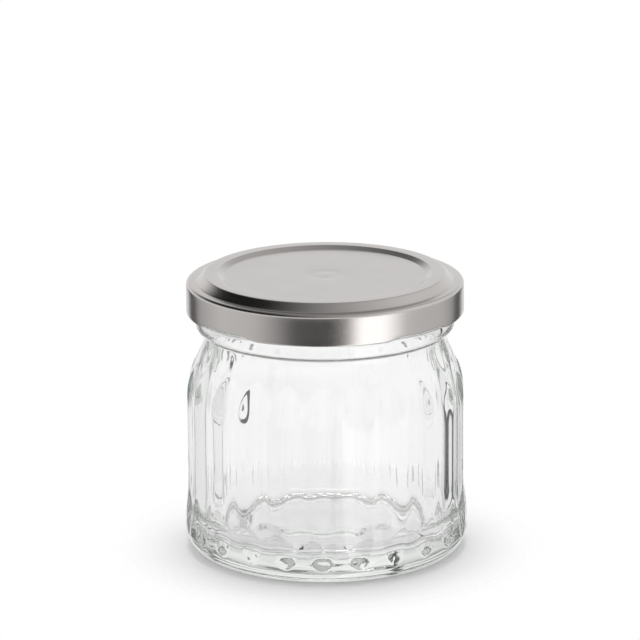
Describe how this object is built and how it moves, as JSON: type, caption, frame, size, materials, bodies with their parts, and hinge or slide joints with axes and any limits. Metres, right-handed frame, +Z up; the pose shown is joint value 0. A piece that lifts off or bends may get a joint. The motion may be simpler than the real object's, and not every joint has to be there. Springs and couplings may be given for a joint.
{
  "type": "preserving jar",
  "caption": "Round fluted clear glass preserving jar, empty, closed with a silver metal twist-off lid that has a raised ring and a rolled lower edge.",
  "frame": {"origin": "centre of the ring that the jar stands on", "axes": "+Z up along the jar's axis, -Y the front, +X to the right seen from the front"},
  "size_m": [0.0878, 0.0878, 0.0874],
  "materials": {
    "glass": "clear flint glass, smooth",
    "tinplate": "satin silver tinplate",
    "sealant": "soft off-white sealing compound"
  },
  "bodies": {
    "root": {"glass_jar": "glass", "lid": "tinplate", "lid_liner": "sealant"}
  },
  "joints": []
}
